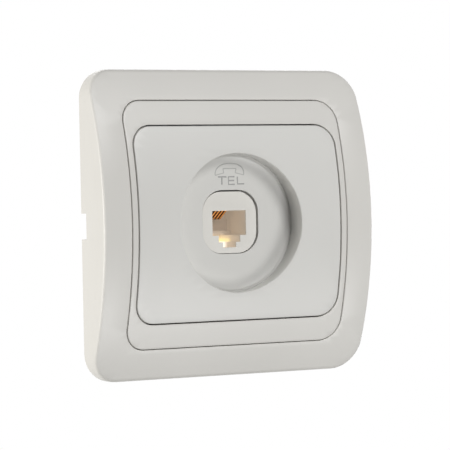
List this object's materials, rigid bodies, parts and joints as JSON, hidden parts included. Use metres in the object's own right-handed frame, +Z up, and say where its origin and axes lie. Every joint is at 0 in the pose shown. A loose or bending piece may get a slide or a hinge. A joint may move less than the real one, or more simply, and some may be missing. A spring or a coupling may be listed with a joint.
{
  "type": "telephone wall socket",
  "caption": "Flush wall socket for a telephone: arched square frame, trim frame and cover plate with a round well that holds a modular jack; steel support plate and fixing claws behind.",
  "frame": {"origin": "middle of the socket in the plane of the wall's surface, which is the plane of the back faces of the steel support plate and the frame's rim", "axes": "+X to the right seen from the room, +Y into the wall, +Z up"},
  "size_m": [0.082, 0.0342, 0.082],
  "materials": {
    "frame_plastic": "satin moulded plastic, warm light grey",
    "trim_plastic": "satin moulded plastic, warm light grey",
    "plate_plastic": "satin moulded plastic, warm light grey",
    "dish_plastic": "satin moulded plastic, light grey",
    "jack_plastic": "moulded plastic, warm off-white",
    "insert_plastic": "moulded plastic, dark brown grey",
    "contact_gold": "gold-plated wire",
    "board_laminate": "circuit board with a green mask",
    "terminal_plastic": "moulded plastic, cream",
    "carrier_plastic": "moulded plastic, off-white",
    "clamp_brass": "plain brass",
    "screw_steel": "zinc-plated steel",
    "zinc_steel": "zinc-plated sheet steel",
    "claw_steel": "zinc-plated spring steel"
  },
  "bodies": {
    "socket": {"outer_frame": "frame_plastic", "inner_frame": "trim_plastic", "cover_plate": "plate_plastic", "well_dish": "dish_plastic", "jack_housing": "jack_plastic", "contact_insert": "insert_plastic", "contact_wire_1": "contact_gold", "contact_wire_2": "contact_gold", "contact_wire_3": "contact_gold", "contact_wire_4": "contact_gold", "circuit_board": "board_laminate", "board_screws": "screw_steel", "terminal_block": "terminal_plastic", "terminal_clamp_1": "clamp_brass", "terminal_clamp_2": "clamp_brass", "terminal_clamp_3": "clamp_brass", "terminal_clamp_4": "clamp_brass", "terminal_screw_1": "screw_steel", "terminal_screw_2": "screw_steel", "terminal_screw_3": "screw_steel", "terminal_screw_4": "screw_steel", "carrier": "carrier_plastic", "carrier_rivets": "screw_steel", "support_plate": "zinc_steel", "claw_pin_left": "screw_steel", "claw_pin_right": "screw_steel", "claw_screw_left": "screw_steel", "claw_screw_right": "screw_steel"},
    "claw_left": {"claw_left": "claw_steel"},
    "claw_right": {"claw_right": "claw_steel"}
  },
  "joints": [
    {"name": "claw_left_pivot", "type": "hinge", "parent": "socket", "child": "claw_left", "pos_m": [-0.0221, 0.0038, 0], "axis": [0, 0, 1], "range_deg": [0, 25]},
    {"name": "claw_right_pivot", "type": "hinge", "parent": "socket", "child": "claw_right", "pos_m": [0.0221, 0.0038, 0], "axis": [0, 0, -1], "range_deg": [0, 25]}
  ]
}
